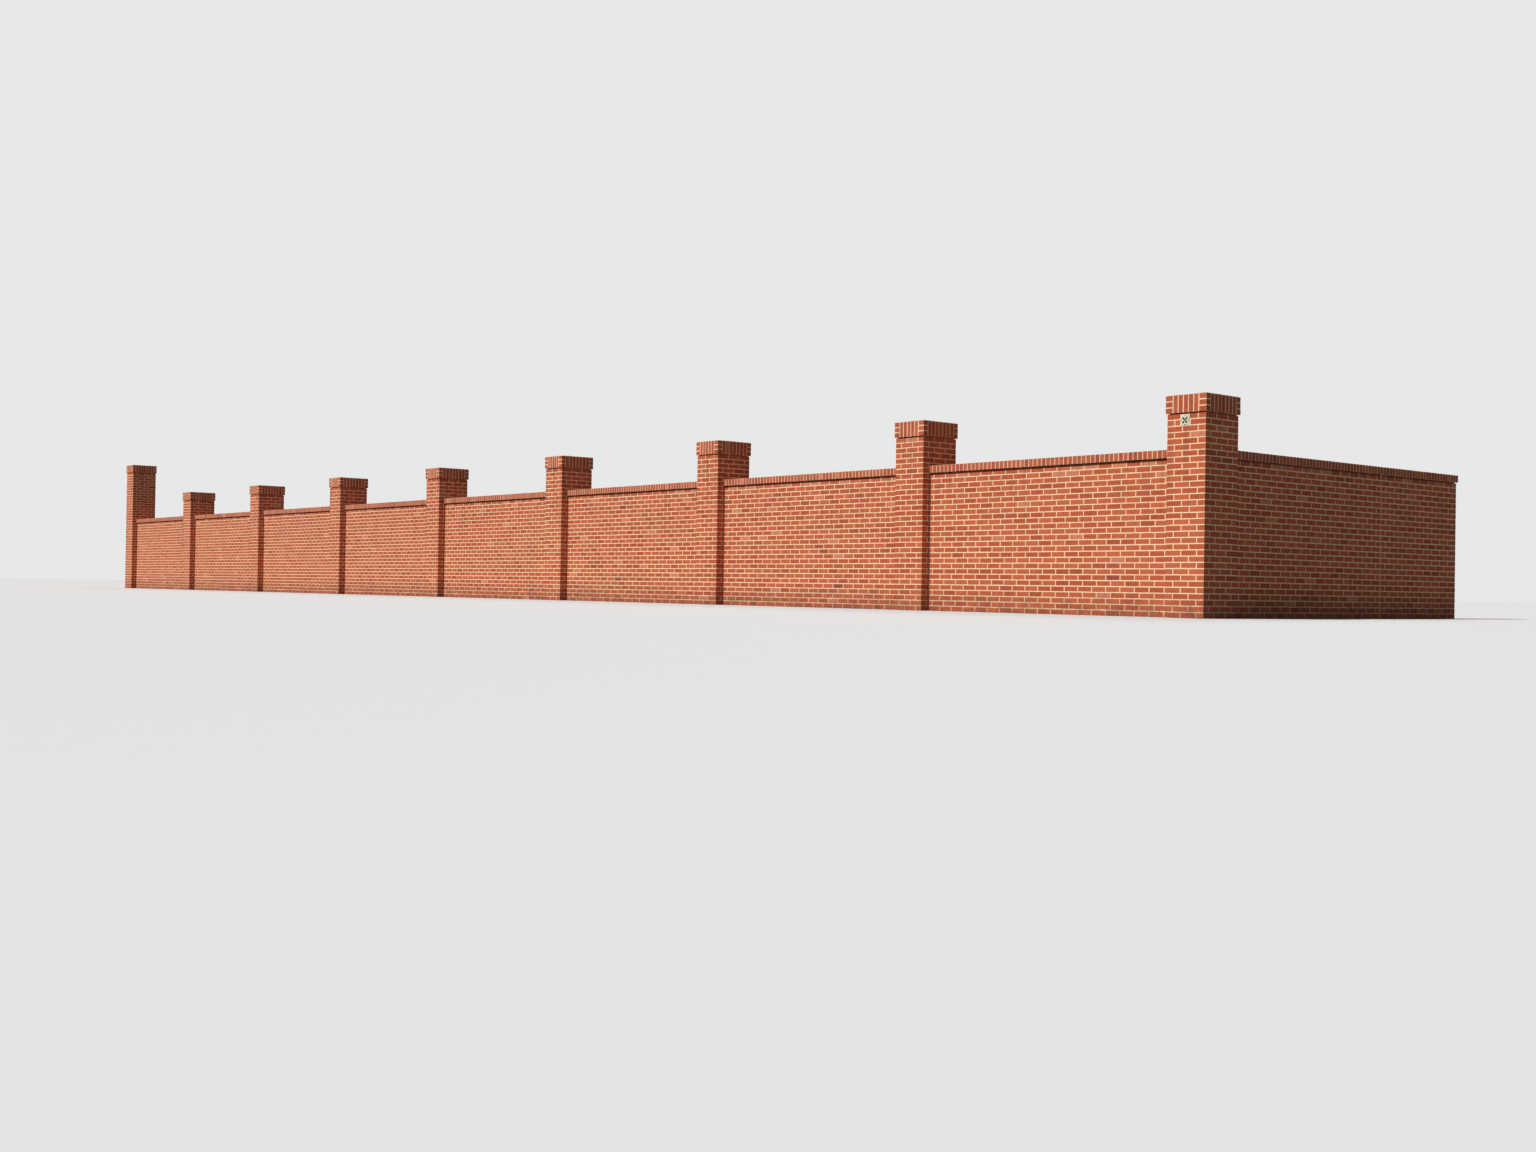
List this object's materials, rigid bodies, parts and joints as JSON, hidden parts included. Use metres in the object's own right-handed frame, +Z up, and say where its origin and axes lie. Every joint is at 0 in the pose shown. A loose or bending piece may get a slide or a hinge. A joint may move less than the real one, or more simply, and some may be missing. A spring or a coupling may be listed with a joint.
{
  "type": "brick garden wall",
  "caption": "Long brick garden wall on a corner: equal bays between square piers with soldier-course caps, a brick-on-edge coping and a short return wall.",
  "frame": {"origin": "centre of the corner pier's foot, on the ground", "axes": "+X along the street wall towards the corner, +Y back into the garden, +Z up"},
  "size_m": [34.6662, 5.5534, 3.3219],
  "materials": {
    "pier_brick": "matte",
    "cap_brick": "matte",
    "wall_brick": "matte",
    "coping_brick": "matte",
    "mortar": "matte",
    "joint_filler": "matte",
    "tile": "satin"
  },
  "bodies": {
    "root": {"corner_pier": "pier_brick", "pier_2": "pier_brick", "pier_3": "pier_brick", "pier_4": "pier_brick", "pier_5": "pier_brick", "pier_6": "pier_brick", "pier_7": "pier_brick", "pier_8": "pier_brick", "entrance_pier": "pier_brick", "corner_cap": "cap_brick", "cap_2": "cap_brick", "cap_3": "cap_brick", "cap_4": "cap_brick", "cap_5": "cap_brick", "cap_6": "cap_brick", "cap_7": "cap_brick", "cap_8": "cap_brick", "entrance_cap": "cap_brick", "bay_wall_1": "wall_brick", "bay_wall_2": "wall_brick", "bay_wall_3": "wall_brick", "bay_wall_4": "wall_brick", "bay_wall_5": "wall_brick", "bay_wall_6": "wall_brick", "bay_wall_7": "wall_brick", "bay_wall_8": "wall_brick", "return_wall_near": "wall_brick", "return_wall_far": "wall_brick", "bay_coping_1": "coping_brick", "bay_coping_2": "coping_brick", "bay_coping_3": "coping_brick", "bay_coping_4": "coping_brick", "bay_coping_5": "coping_brick", "bay_coping_6": "coping_brick", "bay_coping_7": "coping_brick", "bay_coping_8": "coping_brick", "return_coping_near": "coping_brick", "return_coping_far": "coping_brick", "expansion_filler": "joint_filler", "corner_tile": "tile"}
  },
  "joints": []
}
